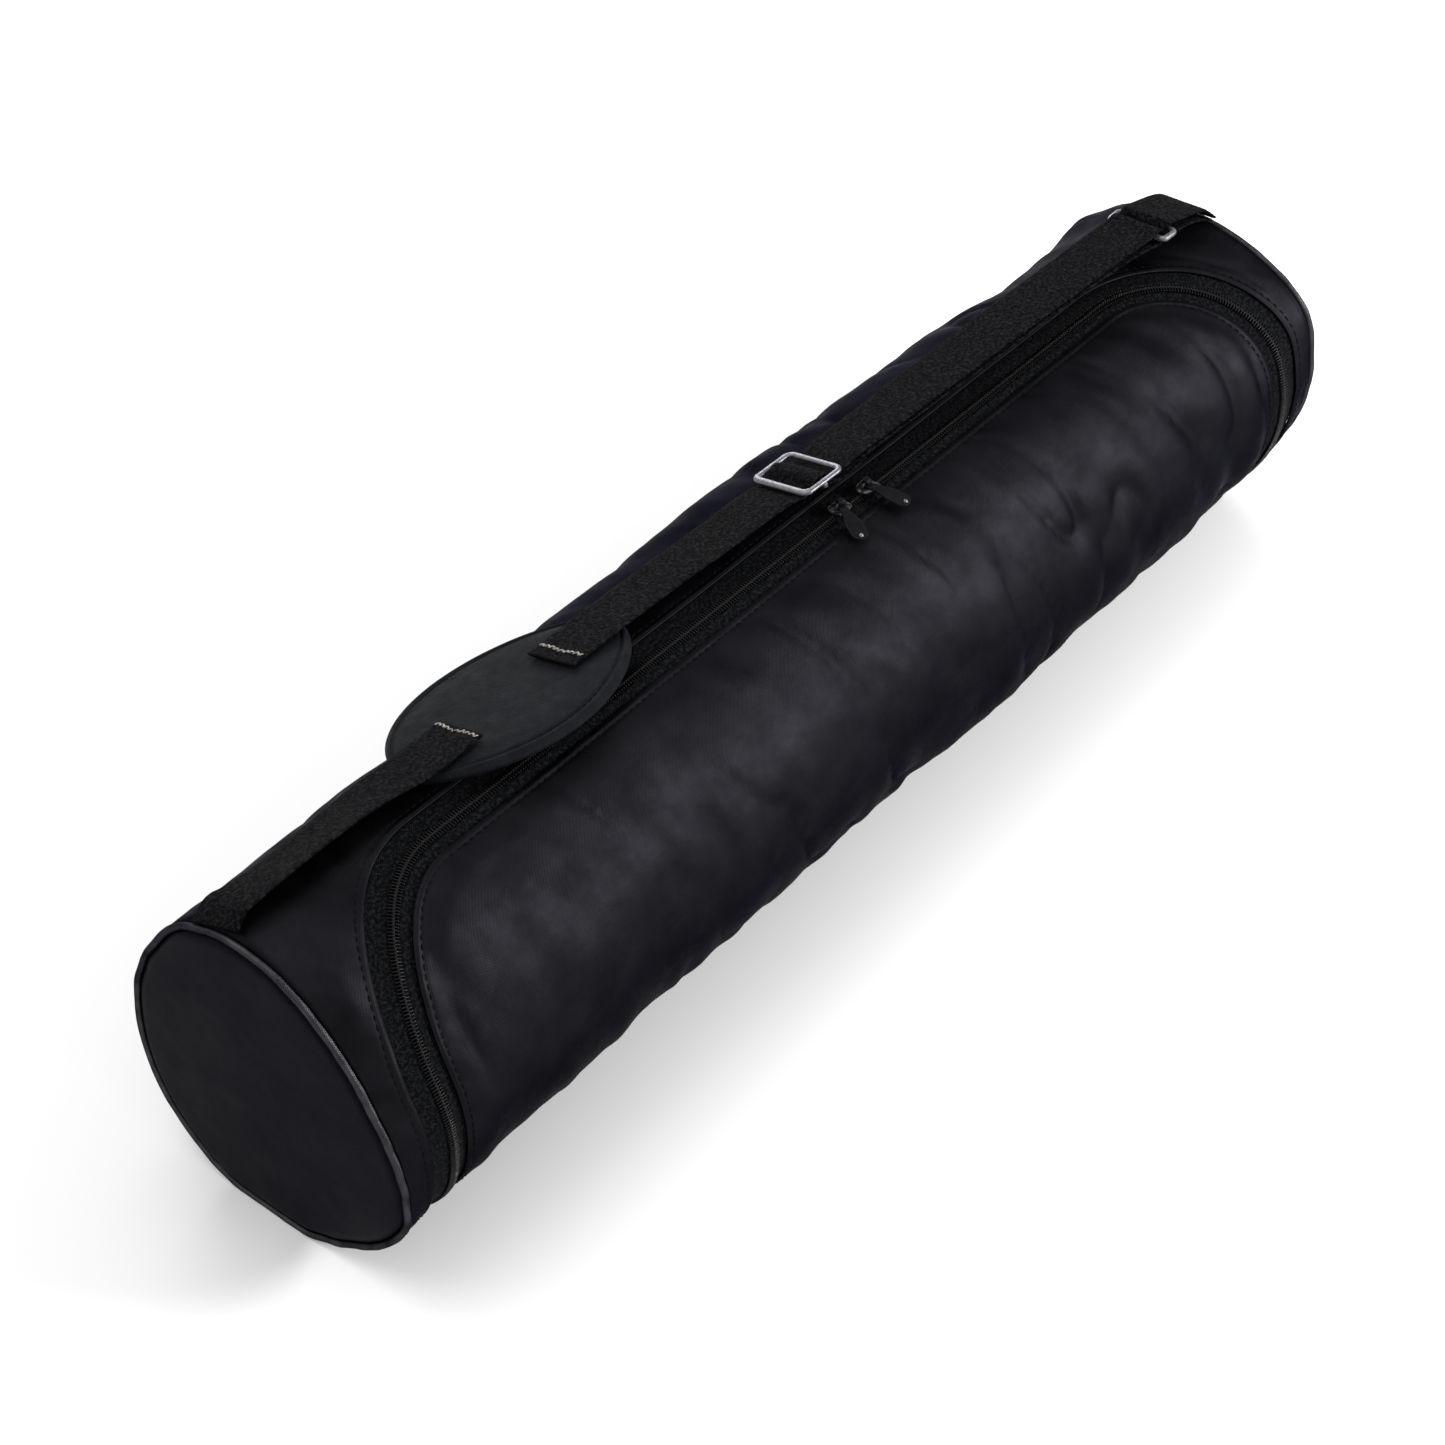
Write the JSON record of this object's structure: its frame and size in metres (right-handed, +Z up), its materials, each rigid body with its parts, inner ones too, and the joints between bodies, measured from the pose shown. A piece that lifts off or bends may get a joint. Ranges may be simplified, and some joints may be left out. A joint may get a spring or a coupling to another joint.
{
  "type": "drawing tube",
  "caption": "Soft zipped fabric tube for rolled drawings, with round piped ends, a hinged front panel, zip sliders, a padded carry strap, ladder adjuster and ring.",
  "frame": {"origin": "on the floor, under the middle of the bounding box, with the bag lying on its underside", "axes": "+X along the tube to the end with the metal ring, -Y to the zip side, +Z up"},
  "size_m": [0.66, 0.1598, 0.1793],
  "materials": {
    "body_cloth": "satin nylon over thin padding",
    "end_cloth": "smooth coated cloth",
    "piping": "piping cover, slight sheen",
    "foam": "foam disc",
    "binding": "seam binding tape",
    "zip_tape": "matt woven tape",
    "zip_coil": "nylon coil",
    "zip_metal": "black enamel",
    "pull": "moulded pull",
    "webbing": "ribbed webbing",
    "pad": "grained synthetic leather",
    "thread": "pale bar tack stitching",
    "grey_metal": "dull grey plate"
  },
  "bodies": {
    "bag": {"body_sleeve": "body_cloth", "near_end_panel": "end_cloth", "far_end_panel": "end_cloth", "near_stiffener": "foam", "far_stiffener": "foam", "near_piping": "piping", "far_piping": "piping", "near_binding": "binding", "far_binding": "binding", "hinge_binding": "binding", "zip_tape_body": "zip_tape", "zip_coil_body": "zip_coil", "zip_stop_near": "zip_metal", "zip_stop_far": "zip_metal", "strap_near": "webbing", "strap_long": "webbing", "bartack_near": "thread", "bartack_far": "thread", "pad_base": "pad", "pad_cover": "pad", "ring_tab": "webbing"},
    "flap": {"front_flap": "body_cloth", "zip_tape_flap": "zip_tape", "zip_coil_flap": "zip_coil"},
    "zip_slider_near": {"slider_near": "zip_metal"},
    "zip_slider_far": {"slider_far": "zip_metal"},
    "zip_pull_near": {"pull_near": "pull"},
    "zip_pull_far": {"pull_far": "pull"},
    "strap_adjuster": {"adjuster": "grey_metal", "strap_return": "webbing"},
    "end_ring": {"ring": "grey_metal"}
  },
  "joints": [
    {"name": "flap_open", "type": "hinge", "parent": "bag", "child": "flap", "pos_m": [0, -0.05069, 0.02351], "axis": [1, 0.0018, 0.0021], "range_deg": [0, 75]},
    {"name": "slider_near_travel", "type": "slide", "parent": "bag", "child": "zip_slider_near", "axis": [0.9999, 0.0012, -0.0121], "range_m": [-0.25, 0]},
    {"name": "slider_far_travel", "type": "slide", "parent": "bag", "child": "zip_slider_far", "axis": [0.9999, 0.0012, -0.0121], "range_m": [0, 0.165]},
    {"name": "pull_near_swing", "type": "hinge", "parent": "zip_slider_near", "child": "zip_pull_near", "pos_m": [0.03706, -0.00903, 0.16442], "axis": [-0.9999, -0.0012, 0.0121], "range_deg": [-6, 60]},
    {"name": "pull_far_swing", "type": "hinge", "parent": "zip_slider_far", "child": "zip_pull_far", "pos_m": [0.05606, -0.00898, 0.16419], "axis": [-0.9999, -0.0012, 0.0121], "range_deg": [-6, 60]},
    {"name": "adjuster_slide", "type": "slide", "parent": "bag", "child": "strap_adjuster", "axis": [0.9989, -0.0431, 0.0202], "range_m": [-0.03, 0.03]},
    {"name": "ring_swing", "type": "hinge", "parent": "bag", "child": "end_ring", "pos_m": [0.2895, 0.00231, 0.1732], "axis": [0, 1, 0], "range_deg": [-3, 3]}
  ]
}
